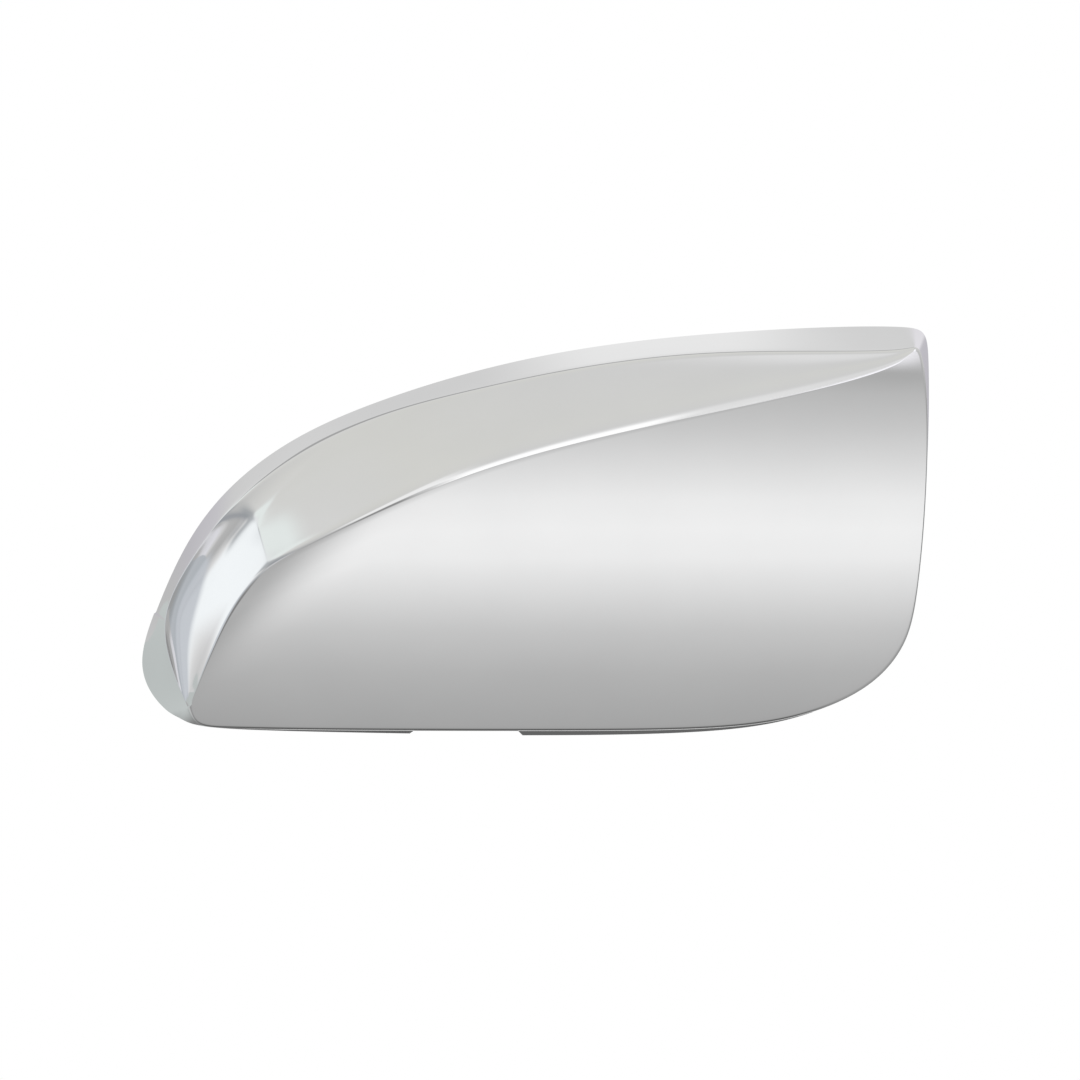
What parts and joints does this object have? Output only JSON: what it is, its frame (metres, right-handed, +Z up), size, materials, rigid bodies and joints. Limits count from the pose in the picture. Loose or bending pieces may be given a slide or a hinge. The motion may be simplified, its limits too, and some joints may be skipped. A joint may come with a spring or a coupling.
{
  "type": "wing mirror cover",
  "caption": "Curved chrome-plated cover shell for a car's wing mirror, with a ridged face, a hollow upper band, a lower tongue and snap arms inside.",
  "frame": {"origin": "centre of the cover's overall box", "axes": "+X from the outboard tip to the inboard end, +Y from the front face to the rear edge, +Z up, as the cover sits on a car"},
  "size_m": [0.2348, 0.078, 0.1218],
  "materials": {
    "chrome_plating": "bright mirror-polished chrome plating on a moulded plastic shell"
  },
  "bodies": {
    "root": {"cover_shell": "chrome_plating"}
  },
  "joints": []
}
